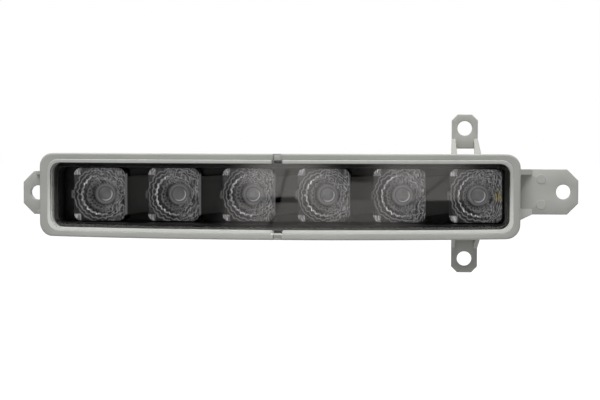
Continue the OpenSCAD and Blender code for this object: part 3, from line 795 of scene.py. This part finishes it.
PROP_IN, PROP_OUT, PROP_MIDDLE, PROP_LONG = 15.25, 17.85, 16.0, 8.0
props = []
for x in GAP_X:
    for s in (-1, 1):
        points, faces = block((x - RIB_T / 2, x + RIB_T / 2), (0, 1), (PROP_IN, PROP_OUT))
        start = RIM_BACK - 1.0 + float(sag(x))
        points[:, 1] = start + np.where(points[:, 2] > PROP_MIDDLE, 0.05, PROP_LONG) * points[:, 1]
        points[:, 2] *= s
        props.append((points, faces if s > 0 else faces[:, ::-1]))
bevelled(moulding("rim_props", *joined(props)), 0.2)

# %% Bosses for the screws
SCREW_Z, PILOT_R, BOSS_R, BOSS_FRONT = 8.5, 1.25, 3.0, 5.0
boss = [(BOSS_R, FLOOR_IN + 0.1), (BOSS_R, BOSS_FRONT + 0.3), (BOSS_R - 0.2, BOSS_FRONT),
        (PILOT_R + 0.2, BOSS_FRONT), (PILOT_R, BOSS_FRONT + 0.3), (PILOT_R, 7.6), (PILOT_R, FLOOR_IN + 0.1)]
bosses = [turned(GAP_X[i], s * SCREW_Z, boss) for i in (0, 2, 4) for s in (-1, 1)]
moulding("screw_bosses", *joined(bosses))

# %% Socket and its latch ramp
SOCKET_W, SOCKET_H, SOCKET_R = 18.4, 10.8, 2.1
SHROUD_T, SHROUD_END, SHROUD_ROUND, SHROUD_FOOT = 1.8, BACK + 15.0, 0.3, 0.5
shroud = [(0.0, BACK - ROOTED), (0.0, SHROUD_END - SHROUD_ROUND), (SHROUD_ROUND, SHROUD_END),
          (SHROUD_T - SHROUD_ROUND, SHROUD_END), (SHROUD_T, SHROUD_END - SHROUD_ROUND),
          (SHROUD_T, BACK + SHROUD_FOOT), (SHROUD_T + 0.3, BACK + 0.1),
          (SHROUD_T + SHROUD_FOOT, BACK - ROOTED)]
moulding("plug_shroud", *framed(SOCKET_X, SOCKET_W / 2, SOCKET_H / 2, SOCKET_R, shroud))
RAMP_HALF, RAMP_Y, RAMP_Z, RAMP_RISE = 2.5, (SHROUD_END - 8.0, SHROUD_END - 3.0), (7.15, 7.2), 1.6
ramp, faces = block((SOCKET_X - RAMP_HALF, SOCKET_X + RAMP_HALF), RAMP_Y, RAMP_Z)
ramp[(ramp[:, 1] > sum(RAMP_Y) / 2) & (ramp[:, 2] > sum(RAMP_Z) / 2), 2] += RAMP_RISE
bevelled(moulding("latch_ramp", ramp, faces), 0.15)

# %% Vent spigot and ejector marks
SPIGOT_R, VENT_R, SPIGOT_H = 4.2, 1.6, 2.2
spigot = [(SPIGOT_R, BACK - ROOTED), (SPIGOT_R, BACK + SPIGOT_H - 0.2), (SPIGOT_R - 0.2, BACK + SPIGOT_H),
          (VENT_R + 0.2, BACK + SPIGOT_H), (VENT_R, BACK + SPIGOT_H - 0.2), (VENT_R, BACK - ROOTED)]
moulding("vent_spigot", *turned(VENT_X, 0.0, spigot))
MARK_X, MARK_APART, MARK_R = 113.75, 5.6, 2.1
mark = [(0.05, -SEAT_T - 0.15), (MARK_R - 0.15, -SEAT_T - 0.15), (MARK_R, -SEAT_T - 0.05),
        (MARK_R, -SEAT_T + 0.3), (0.05, -SEAT_T + 0.3)]
marks = [turned(MARK_X, RIGHT_Z + s * MARK_APART, mark) for s in (-1, 1)]
moulding("ejector_marks", *joined(marks), sharp=20.0)

# %% [markdown]
# ## Window
#
# The window is a shallow clear box: a bowed front two and a half millimetres thick, with a
# foot all round that stands in the housing's groove. Seen from the front, the real foot looks
# grey from light that it gathers from the plastic behind it. Here that light is a painted glow,
# with painted light that makes the foot brighter low down. So the same skin carries two
# finishes, clear inside the sill's line and frosted with painted light outside it. The clear
# part lets light through, but the frosted foot would block it and darken the housing below,
# so the window throws no shadow.

# %% Window section
FOOT_OUT, FOOT_IN, FOOT_BACK, PANE_T = 15.6, 14.35, FACE + 9.9, 2.5
LENS = [
    (12.0, FACE, 1, 0), (14.2, FACE, 1, 0), (FOOT_OUT, FACE, 1, 0.45),
    (FOOT_OUT, FOOT_BACK, 1, 0.2), (FOOT_IN, FOOT_BACK, 1, 0.2), (FOOT_IN, FACE + PANE_T, 1, 0.4),
    (12.0, FACE + PANE_T, 1, 0),
]


def foot_plastic_with_painted_light():
    """Frosted foot with painted light: painted brighter low down, where light falls in from above, and a
    painted glow.
    """
    made, f, place = material("lens_foot_painted_light")
    # Painted light: the colour is paler towards the bottom, standing in for light that falls in from above
    height = f.parts(place)[2].band(-0.014, 0.013)
    slow = f.noise(place, 160.0, 2.0)
    tone = (height + (slow - 0.5) * 0.3).blend(rgb(0.68, 0.69, 0.66), rgb(0.42, 0.43, 0.41))
    bump = f.bumps(0.1, 0.0001, slow)
    # Painted glow: the foot's colour is also emitted, though the foot is no lamp
    body = f.add("ShaderNodeBsdfPrincipled", None, Base_Color=tone, Roughness=slow * 0.15 + 0.2, Normal=bump,
                 Emission_Color=tone, Emission_Strength=0.12)
    f.surface(body)
    return made


LENS_FOOT_PAINTED_LIGHT = foot_plastic_with_painted_light()
print("foot:", LENS_FOOT_PAINTED_LIGHT.name)

# %% Window skin with its two finishes
profile = rounded(LENS)
rows = len(profile)
lens_faces = np.concatenate([grid_faces(rows, COLUMNS), strip_cap(0), strip_cap(rows - 1)])
finishes = [LENS_CLEAR, LENS_FOOT_PAINTED_LIGHT]
lens = make("window", carried(profile), lens_faces, "lens_clear", finishes, replaced=["outer_lens"])
is_foot = np.zeros((rows - 1, COLUMNS), int)
is_foot[1:-1] = 1
quad_x = (SIDE_X + np.roll(SIDE_X, -1)) / 2
is_foot[:, np.abs(np.nan_to_num(quad_x, nan=99.0) - NOTCH_X) < FOOT_GAP] = 0
caps = np.zeros(len(lens_faces) - is_foot.size, int)
lens.data.polygons.foreach_set("material_index", np.concatenate([is_foot.ravel(), caps]))
lens.visible_shadow = False

# %% Window lugs
LUG_HALF, LUG_Y, LUG_Z = 1.6, (FACE + 0.85, FACE + 2.0), (15.4, 17.55)
lugs = [block((NOTCH_X - LUG_HALF, NOTCH_X + LUG_HALF), LUG_Y, sorted(s * z for z in LUG_Z)) for s in (-1, 1)]
bevelled(make("window_lugs", *joined(lugs), "lens_clear", [LENS_CLEAR], replaced=["outer_lens"]), 0.2)

# %% [markdown]
# ## Optics
#
# Each optic is one clear block. From the front it is a rounded square with a faceted ring, a
# bowl inside the ring, and a small lens at the bottom of the bowl; from behind, a cone that
# gathers the diode's light. All of it is one closed surface in two parameters: the turn round
# the optic, and a walk from the middle of the front to the middle of the back. Along the walk
# each row is either a circle, a circle with facets, or the rounded square.

# %% Outlines of an optic
SPOKES = 240
THETA = np.linspace(0, 2 * math.pi, SPOKES, endpoint=False)
CELL_W, CELL_H, CELL_R, EYE_DX = 22.6, 23.2, 3.0, 1.3
TEETH = 24
LEAST_R = 0.4


def square_reach(inset):
    """Distance from the middle to a rounded square along each turn: a side's hit, or a corner's circle."""
    hw, hh, r = CELL_W / 2 - inset, CELL_H / 2 - inset, max(CELL_R - inset, LEAST_R)
    c, s = np.abs(np.cos(THETA)), np.abs(np.sin(THETA))
    side = np.minimum(hw / np.maximum(c, TINY), hh / np.maximum(s, TINY))
    cx, cz = hw - r, hh - r
    dot = cx * c + cz * s
    corner = dot + np.sqrt(np.maximum(dot**2 - cx**2 - cz**2 + r**2, 0))
    in_corner = (side * c > cx) & (side * s > cz)
    return np.where(in_corner, corner, side)


def facet():
    """Radius factor that turns a circle into a regular polygon with a side for each tooth."""
    half = math.pi / TEETH
    return math.cos(half) / np.cos(THETA % (2 * half) - half)


def scallop(depth, phase=0.0):
    """Radius factor with soft bites: one less depth times the absolute sine of half the teeth's turn."""
    return 1.0 - depth * np.abs(np.sin((THETA + phase) * TEETH / 2))


print("an optic reaches", round(float(square_reach(0).max()), 2), "mm at its corners")

# %% One optic's surface
EYE_R, EYE_H, EYE_RISE = 3.1, 8.4, 0.97
BOWL_FOOT, BOWL_TOP, BOWL_H, SHELF = 4.9, 7.3, 7.4, 14.2
BOWL_R, RING_IN, RING_OUT, RING_H, TALL = 8.4, 9.1, 9.8, 0.6, 15.0
EDGE_ROUND, SKIRT_T, WELL_R, WELL_H = 0.9, 1.3, 3.0, 5.6
CONE_R, CONE_H, CONE_ROWS = (9.6, 4.2), (13.4, 0.6), 7
ON_BOARD = 0.02


def eye_dome(steps=9):
    """Rows of the small lens: the height falls with the square of the radius, by nearly a millimetre."""
    rho = np.linspace(0.02, 1.0, steps)
    return [(EYE_R * r, EYE_H - EYE_RISE * r**2, 1.0) for r in rho]


def optic_rows():
    """Walk from the front's middle to the back's: (radius, height, factor) or ("square", inset, height)."""
    bites = scallop(0.05)
    rows = eye_dome() + [(EYE_R + 0.02, BOWL_H + 0.02, 1.0), (BOWL_FOOT - 0.2, BOWL_H, 1.0)]
    for k in np.linspace(0, 1, 6):
        radius, height = BOWL_FOOT + (BOWL_TOP - BOWL_FOOT) * k, BOWL_H + 0.05 + (SHELF - BOWL_H - 0.15) * k
        rows.append((radius, height, scallop(0.03 * k)))
    rows += [(BOWL_TOP + 0.2, SHELF, bites), (BOWL_R - 0.3, SHELF + 0.02, bites),
             (BOWL_R - 0.1, SHELF + 0.15, scallop(0.02)), (BOWL_R + 0.02, TALL - 0.1, 1.0),
             (BOWL_R + 0.1, TALL, 1.0)]
    rim = facet()
    crest = TALL + RING_H
    rows += [(RING_IN - 0.1, TALL, 1.0), (RING_IN, TALL + 0.05, rim), (RING_IN + 0.05, crest - 0.1, rim),
             (RING_IN + 0.15, crest, rim), (RING_OUT - 0.15, crest, rim), (RING_OUT - 0.05, crest - 0.1, rim),
             (RING_OUT, TALL + 0.03, rim), (RING_OUT + 0.02, TALL, 1.0)]
    rows += [("square", EDGE_ROUND + 0.5, TALL), ("square", EDGE_ROUND, TALL)]
    for t in np.linspace(0, 1, 5):
        rows.append(("square", EDGE_ROUND * (1 - t) ** 2, TALL - EDGE_ROUND * t**2))
    rows += [("square", 0.0, 8.0), ("square", 0.0, ON_BOARD), ("square", SKIRT_T, ON_BOARD),
             ("square", SKIRT_T, CONE_H[0] - 0.5), ("square", SKIRT_T + 0.3, CONE_H[0] - 0.02)]
    cone = scallop(0.05, math.pi / TEETH)
    for radius, height in list(zip(np.linspace(*CONE_R, CONE_ROWS), np.linspace(*CONE_H, CONE_ROWS)))[:-1]:
        rows.append((radius, height, cone))
    rows += [(CONE_R[1], CONE_H[1], 1.0), (WELL_R, CONE_H[1] + ON_BOARD, 1.0), (WELL_R, WELL_H - 0.4, 1.0),
             (WELL_R - 0.8, WELL_H, 1.0), (0.1, WELL_H, 1.0)]
    return rows


print("rows from front to back:", len(optic_rows()))

# %% Points of an optic
def optic_points(x):
    """Points of one optic in the lamp's frame; a height over the board is a depth before it."""
    layers = []
    for first, second, third in optic_rows():
        if isinstance(first, str):
            reach, height, cx = square_reach(second), third, 0.0
        else:
            reach, height, cx = first * third * np.ones(SPOKES), second, EYE_DX
        depth = np.full(SPOKES, BOARD - height)
        layers.append(np.stack([x + cx + reach * np.cos(THETA), depth, reach * np.sin(THETA)], -1))
    return np.stack(layers)


print("points of an optic's skin:", optic_points(0.0)[..., 0].size)

# %% [markdown]
# ## Painted light lines of the optics
#
# A clear block shows bright and dark lines where its many small facets gather or lose the light.
# Here that light is painted into the colour, which also glows: a calm disc over the small lens,
# quiet rings in the bowl, a broken bright ring at its edge, crinkles outside it, a bright crescent
# on the small lens, and painted shade on the sides. The painted lines follow the optic's own axis,
# so every vertex carries its place from that axis as an attribute, and the finish works out radius
# and turn from it. The painted glints come from a cell texture laid out in radius, turn and place
# along the lamp, so that they follow the ring and still differ from optic to optic.

# %% Numbers of the painted light lines, in millimetres from the optic's axis
COARSE_SCALE, FINE_SCALE = 230.0, 600.0
TURN_CELLS, RADIUS_CELLS, ALONG_CELLS = 3.82, 0.85, 3000.0
# Each line: its share of the teeth's wave, its radius, its half width and its brightness
LINES = ((0.4, 6.9, 0.6, 0.08), (-0.3, 5.6, 0.4, 0.05), (-0.5, 10.4, 0.45, 0.12), (-0.4, 11.9, 0.45, 0.10))
LINES_RIGHT = ((0.5, 8.1, 0.45, 0.12), (0.0, 9.4, 0.4, 0.12))
CROWN_R, CROWN_HALF, DISC_R, DISC_HALF = 9.05, 0.62, 3.9, 1.3
# Each step: where it starts and where it ends
LEFT_STEP, FACET_STEP = (-2.0, 5.0), (4.4, 5.2)
PAD_LEFT, PAD_SIDE, LATCH_LEFT = (-9.9, -8.9), (8.3, 9.0), (-12.9, -12.5)
WALL_TOP, WALL_R, WALL_RISE, WALL_SIDE = (13.8, 14.3), (9.85, 9.95), (7.5, 10.0), (8.5, 9.5)
UPPER_STEP, ARC_STEP, ARC_IN, ARC_HALF = (0.0, 9.0), (-0.5, 3.0), 0.25, 0.45
# A yellow glimpse in the last optic: two steps along the lamp in metres, one across in millimetres
AMBER_LEFT, AMBER_RIGHT, AMBER_SIDE = (0.0126, 0.0134), (0.0150, 0.0160), (1.2, 3.0)
AMBER = (0.23, 0.20, 0.08)


def painted_light_lines(crinkled, wave, lines):
    """Sum of soft painted light lines at their radii, each bent by its share of the wave."""
    return sum((crinkled + wave * share).line(at, half) * bright for share, at, half, bright in lines)


print("light lines:", len(LINES) + len(LINES_RIGHT))

# %% Clear plastic of the optics, with painted light and glow
def optic_plastic_painted_light():
    """Clear plastic with painted light by radius and turn round the optic's axis, all of it made to glow."""
    made, f, place = material("optic_clear")
    local = f.add("ShaderNodeAttribute", {"attribute_name": "from_axis"}, out="Vector")
    dx, dz = f.parts(local)[:2]
    along, depth, _ = f.parts(place)
    height = BOARD - depth * (1 / MM)
    coarse = f.noise(place, COARSE_SCALE, 1.0)
    fine = f.noise(place, FINE_SCALE, 1.0)
    radius = f.add("ShaderNodeVectorMath", {"operation": "LENGTH"}, local, out="Value")
    turn = f.add("ShaderNodeMath", {"operation": "ARCTAN2"}, dz, dx * -1.0)
    # Painted light differs by side: the left is dark but for a bright ring, the right carries brighter glints
    left = (dx * -1.0 - dz * 0.3).band(*LEFT_STEP)
    right = 1.0 - left

    crinkled = radius + (coarse - 0.5) * (right * 5.0 + 1.5) + (fine - 0.5) * 0.9
    wave = (turn * (TEETH / 2)).sine().size()
    grid = (turn * TURN_CELLS, crinkled * RADIUS_CELLS, along * ALONG_CELLS)
    grid = f.add("ShaderNodeCombineXYZ", None, *grid)
    cells = f.add("ShaderNodeTexVoronoi", {"voronoi_dimensions": "3D"}, grid, Scale=1.0, out="Color")
    shade = f.parts(cells)[0]
    spark = shade.power(2.5)

    # Painted highlights: a broken bright ring at the ring's edge, glints on the facets and on the corner
    # pads, and a paler latch
    crown_highlight = (radius + wave * 0.45 + (fine - 0.5) * 0.8).line(CROWN_R, CROWN_HALF)
    crown_highlight = crown_highlight * (left * (spark * 0.50 + 0.12) + 0.02)
    facets = radius.band(*FACET_STEP) * spark * (right * 0.10 + 0.03)
    pads = (1.0 - dx.band(*PAD_LEFT)) * dz.size().band(*PAD_SIDE) * (spark * 0.38 + 0.08)
    latch = (1.0 - dx.band(*LATCH_LEFT)) * 0.05
    # Painted light: a pale ring round the small lens, the painted lines, and the upper half a little brighter
    tone = 0.010 + radius.line(DISC_R, DISC_HALF) * 0.10 + facets + crown_highlight
    tone = tone + painted_light_lines(crinkled, wave, LINES) + right * painted_light_lines(crinkled, wave, LINES_RIGHT)
    tone = tone + pads + latch + dz.band(*UPPER_STEP) * 0.025
    # Painted light on the small lens: a grey disc with a painted highlight along its lower right edge
    eye = 1.0 - radius.band(EYE_R - 0.2, EYE_R + 0.05)
    arc = radius.line(EYE_R - ARC_IN, ARC_HALF) * (dx - dz).band(*ARC_STEP)
    tone = tone * (1.0 - eye) + eye * ((coarse - 0.5) * 0.12 + 0.11) + arc * 0.24
    # Painted shade: the block's sides below its front are dark, paler towards the front and away from the top
    # and bottom
    wall = (1.0 - height.band(*WALL_TOP)) * radius.band(*WALL_R)
    tone = tone * (1.0 - wall) + wall * height.band(*WALL_RISE) * (1.0 - dz.size().band(*WALL_SIDE)) * 0.12
    amber = spark * along.band(*AMBER_LEFT) * (1.0 - along.band(*AMBER_RIGHT))
    amber = amber * (1.0 - dz.size().band(*AMBER_SIDE))
    colour = (amber * 1.6).blend(f.grey(tone), rgb(*AMBER))
    relief = shade * 0.7 + fine * 0.4
    bump = f.bumps(0.25, 0.0004, relief)
    # Painted glow: the colour with all its painted light is also emitted, though the optic is no lamp
    body = f.add("ShaderNodeBsdfPrincipled", None, Base_Color=colour, Roughness=(fine - 0.5) * 0.1 + 0.16,
                 Normal=bump, Specular_IOR_Level=0.25, Emission_Color=colour, Emission_Strength=0.85)
    f.surface(body)
    return made


OPTIC_PAINTED_LIGHT = optic_plastic_painted_light()
print("optics:", OPTIC_PAINTED_LIGHT.name)

# %% Six optics, each with its pads and its latch
PAD_X, PAD_Z, PAD_R, PAD_TOP = CELL_W / 2 - 2.2, CELL_H / 2 - 2.2, 1.4, TALL + 0.4
PAD_ROUND, AXIS = 0.25, 0.02
PAD = [(AXIS, PAD_TOP), (PAD_R - PAD_ROUND, PAD_TOP), (PAD_R, PAD_TOP - PAD_ROUND), (PAD_R, TALL - 0.2),
       (AXIS, TALL - 0.2)]
pad = [(r, BOARD - h) for r, h in PAD]
LATCH_X, LATCH_H, LATCH_W = (-CELL_W / 2 - 1.0, -CELL_W / 2 + 0.1), 5.0, 3.4
LATCH_Y = (BOARD - TALL + 0.02, BOARD - TALL + LATCH_H)

for number, x in enumerate(CELL_X, 1):
    points = optic_points(x)
    rows = len(points)
    ends = [tuple(range(SPOKES)), tuple(range((rows - 1) * SPOKES, rows * SPOKES))[::-1]]
    faces = [tuple(f) for f in grid_faces(rows, SPOKES)[:, ::-1]] + ends
    shapes = [turned(x + sx * PAD_X, sz * PAD_Z, pad, 24) for sx in (-1, 1) for sz in (-1, 1)]
    shapes.append(block([x + edge for edge in LATCH_X], LATCH_Y, (-LATCH_W / 2, LATCH_W / 2)))
    extra, extra_faces = joined(shapes)
    flat = np.concatenate([points.reshape(-1, 3), extra])
    faces += [tuple(f) for f in extra_faces + rows * SPOKES]
    name, node = f"optic_{number}_block", f"optic_{number}"
    optic = make(name, flat, faces, "optic_clear", [OPTIC_PAINTED_LIGHT], sharp=30.0, replaced=[node])
    local = np.stack([flat[:, 0] - x - EYE_DX, flat[:, 2], np.zeros(len(flat))], -1)
    axis = optic.data.attributes.new("from_axis", "FLOAT_VECTOR", "POINT")
    axis.data.foreach_set("vector", local.ravel())

# %% [markdown]
# ## Finishes for the pieces that keep their solids
#
# The tray, the seal, the board with its diodes and driver, the pad, the spreader, the screws,
# the pins and the vent are hidden or already have the right shape. New skins for them would add
# nothing, so the solids stay and only get a finish. Most of it is the same moulded grain in
# other colours, made shiny and metallic where the real piece is metal.

# %% Finishes of the kept nodes
KEPT = {
    "bezel": BEZEL_BLACK,
    "lens_seal": moulded("seal_black", (0.02, 0.02, 0.02), rough=0.7),
    "circuit_board": moulded("board_mask", (0.02, 0.02, 0.025), rough=0.3),
    "driver_chip": moulded("chip_black", (0.03, 0.03, 0.03), rough=0.5),
    "driver_coil": moulded("coil_ferrite", (0.12, 0.11, 0.1), rough=0.6),
    "power_diode": moulded("diode_black", (0.03, 0.03, 0.032), rough=0.5),
    "capacitors": moulded("capacitor_tan", (0.40, 0.28, 0.17), rough=0.4),
    "thermal_pad": moulded("pad_pink", (0.55, 0.36, 0.42), rough=0.7),
    "heat_spreader": moulded("spreader_aluminium", (0.70, 0.71, 0.72), rough=0.3, Metallic=1.0),
    "board_screws": moulded("screw_steel", (0.56, 0.56, 0.56), rough=0.3, Metallic=1.0),
    "connector_pins": moulded("pin_tinned", (0.72, 0.68, 0.58), rough=0.25, Metallic=1.0),
    "vent_cap": moulded("vent_black", (0.03, 0.03, 0.03), rough=0.55),
    "vent_membrane": moulded("membrane_white", (0.8, 0.8, 0.78), rough=0.8),
}
LED = moulded("led_phosphor", (0.75, 0.55, 0.08), rough=0.4)
KEPT.update({f"led_{k}": LED for k in range(1, 7)})
for node, finish in KEPT.items():
    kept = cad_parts[node]
    kept.data.materials.clear()
    kept.data.materials.append(finish)
print("kept nodes:", len(KEPT))

# %% [markdown]
# ## Finish of the floor
#
# A photographer's white ground is lit until it shows no shade at all. Here the floor is pale
# paint that glows a little by itself, which keeps it near white without more lights.

# %% Floor finish
PAINT_DULL, PAINT_PALE, FLOOR_GLOW = 0.92, 0.95, 0.75


def floor_paint():
    """Pale matt paint with a faint unevenness and a glow that keeps it near white."""
    made, f, place = material("floor_pale")
    slow = f.noise(place, 3.0, 2.0)
    tone = slow.blend(rgb(*[PAINT_DULL] * 3), rgb(*[PAINT_PALE] * 3))
    paint = f.add("ShaderNodeBsdfPrincipled", None, Base_Color=tone, Roughness=0.8, Emission_Color=tone,
                  Emission_Strength=FLOOR_GLOW)
    f.surface(paint)
    return made


floor.data.materials.append(floor_paint())
print("floor:", floor.data.materials[0].name)

# %% [markdown]
# ## Closing
#
# The scene is brought up to date at the end. A skin should not grow past its solid, because
# it would no longer be the lamp that was measured.

# %% Bringing the scene up to date
bpy.context.view_layer.update()
